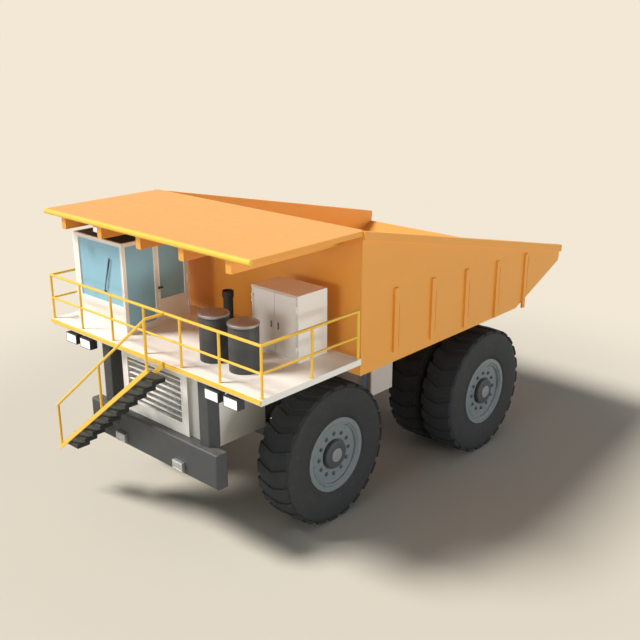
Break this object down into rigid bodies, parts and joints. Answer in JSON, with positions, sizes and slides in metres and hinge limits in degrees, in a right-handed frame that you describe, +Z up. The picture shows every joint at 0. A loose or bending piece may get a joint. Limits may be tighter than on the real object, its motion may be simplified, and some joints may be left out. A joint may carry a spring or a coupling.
{
  "type": "mining dump truck",
  "caption": "Rigid mining haul truck with tipping body and canopy, railed deck, offset cab, slatted grille, slanting front stair and twin rear wheels",
  "frame": {"origin": "on the ground under the middle of the whole truck", "axes": "+Z up, +Y to the tail, +X to the truck's left side; the truck faces -Y"},
  "size_m": [7.4, 12.57, 7.1218],
  "materials": {
    "orange_paint": "satin paint",
    "yellow_paint": "gloss paint",
    "cream_paint": "satin paint",
    "dark_paint": "matt paint",
    "rim_paint": "satin paint",
    "tyre": "matt rubber",
    "glass": "tinted glass",
    "rod": "ground and polished",
    "grey_metal": "satin",
    "tread": "matt paint",
    "lens": "clear cover",
    "gauge": "clear strip",
    "interior": "moulded",
    "engine": "painted casting"
  },
  "bodies": {
    "chassis": {"chassis_frame": "dark_paint", "bumper": "dark_paint", "deck_columns": "dark_paint", "engine_housing": "cream_paint", "grille_slats": "cream_paint", "radiator_core": "dark_paint", "engine_block": "engine", "deck_plate": "cream_paint", "guard_rail": "yellow_paint", "stair_rails": "yellow_paint", "stair_treads": "tread", "cab_ends": "cream_paint", "cab_sides": "cream_paint", "cab_floor": "cream_paint", "cab_roof": "dark_paint", "cab_windows": "glass", "cab_interior": "interior", "wiper": "dark_paint", "cabinet": "cream_paint", "filter_cans": "dark_paint", "filter_lids": "grey_metal", "stack_pipe": "dark_paint", "lamp_boxes": "dark_paint", "lamp_lenses": "lens", "bumper_lamps": "grey_metal", "side_tanks": "cream_paint", "tank_gauge": "gauge", "front_axle": "dark_paint", "rear_axle": "dark_paint", "struts": "dark_paint"},
    "dump_body": {"body_floor": "orange_paint", "body_frame": "orange_paint", "body_sides": "orange_paint", "body_front_wall": "orange_paint", "body_canopy": "orange_paint", "canopy_bar": "yellow_paint"},
    "knuckle_left": {"knuckle_left": "dark_paint"},
    "knuckle_right": {"knuckle_right": "dark_paint"},
    "wheel_front_left": {"tyre_front_left": "tyre", "rim_front_left": "rim_paint"},
    "wheel_front_right": {"tyre_front_right": "tyre", "rim_front_right": "rim_paint"},
    "wheels_rear_left": {"tyres_rear_left": "tyre", "rim_rear_left": "rim_paint"},
    "wheels_rear_right": {"tyres_rear_right": "tyre", "rim_rear_right": "rim_paint"},
    "cab_door": {"cab_door": "cream_paint", "cab_door_glass": "glass"},
    "cabinet_door_inner": {"cabinet_door_inner": "cream_paint"},
    "cabinet_door_outer": {"cabinet_door_outer": "cream_paint"},
    "hoist_barrel_left": {"hoist_barrel_left": "dark_paint"},
    "hoist_barrel_right": {"hoist_barrel_right": "dark_paint"},
    "hoist_rod_left": {"hoist_rod_left": "rod"},
    "hoist_rod_right": {"hoist_rod_right": "rod"}
  },
  "joints": [
    {"name": "body_raise", "type": "hinge", "parent": "chassis", "child": "dump_body", "pos_m": [0, 4.315, 3.2], "axis": [-1, 0, 0], "range_deg": [0, 45]},
    {"name": "steer_left", "type": "hinge", "parent": "chassis", "child": "knuckle_left", "pos_m": [2.455, -2.685, 1.725], "axis": [0, 0, 1], "range_deg": [-30, 30]},
    {"name": "steer_right", "type": "hinge", "parent": "chassis", "child": "knuckle_right", "pos_m": [-2.455, -2.685, 1.725], "axis": [0, 0, 1], "range_deg": [-30, 30]},
    {"name": "spin_front_left", "type": "hinge", "parent": "knuckle_left", "child": "wheel_front_left", "pos_m": [2.455, -2.685, 1.725], "axis": [1, 0, 0], "continuous": true},
    {"name": "spin_front_right", "type": "hinge", "parent": "knuckle_right", "child": "wheel_front_right", "pos_m": [-2.455, -2.685, 1.725], "axis": [1, 0, 0], "continuous": true},
    {"name": "spin_rear_left", "type": "hinge", "parent": "chassis", "child": "wheels_rear_left", "pos_m": [2.435, 2.815, 1.725], "axis": [1, 0, 0], "continuous": true},
    {"name": "spin_rear_right", "type": "hinge", "parent": "chassis", "child": "wheels_rear_right", "pos_m": [-2.435, 2.815, 1.725], "axis": [1, 0, 0], "continuous": true},
    {"name": "cab_door_open", "type": "hinge", "parent": "chassis", "child": "cab_door", "pos_m": [-1.249, -3.485, 5.4], "axis": [0, 0, 1], "range_deg": [0, 90]},
    {"name": "cabinet_door_inner_open", "type": "hinge", "parent": "chassis", "child": "cabinet_door_inner", "pos_m": [1.545, -3.954, 5.1], "axis": [0, 0, -1], "range_deg": [0, 90]},
    {"name": "cabinet_door_outer_open", "type": "hinge", "parent": "chassis", "child": "cabinet_door_outer", "pos_m": [2.865, -3.954, 5.1], "axis": [0, 0, 1], "range_deg": [0, 90]},
    {"name": "hoist_swing_left", "type": "hinge", "parent": "chassis", "child": "hoist_barrel_left", "pos_m": [1.05, 2.065, 1.4], "axis": [-1, 0, 0], "range_deg": [0, 11.27]},
    {"name": "hoist_extend_left", "type": "slide", "parent": "hoist_barrel_left", "child": "hoist_rod_left", "axis": [0, 0.1129, 0.9936], "range_m": [0, 1.4585]},
    {"name": "hoist_swing_right", "type": "hinge", "parent": "chassis", "child": "hoist_barrel_right", "pos_m": [-1.05, 2.065, 1.4], "axis": [-1, 0, 0], "range_deg": [0, 11.27]},
    {"name": "hoist_extend_right", "type": "slide", "parent": "hoist_barrel_right", "child": "hoist_rod_right", "axis": [0, 0.1129, 0.9936], "range_m": [0, 1.4585]}
  ],
  "couplings": [
    {"joint": "steer_right", "follows": "steer_left", "ratio": 1},
    {"joint": "hoist_swing_left", "follows": "body_raise", "ratio": 0.25012},
    {"joint": "hoist_extend_left", "follows": "body_raise", "m_per_rad": 1.8557},
    {"joint": "hoist_swing_right", "follows": "body_raise", "ratio": 0.25012},
    {"joint": "hoist_extend_right", "follows": "body_raise", "m_per_rad": 1.8557}
  ]
}
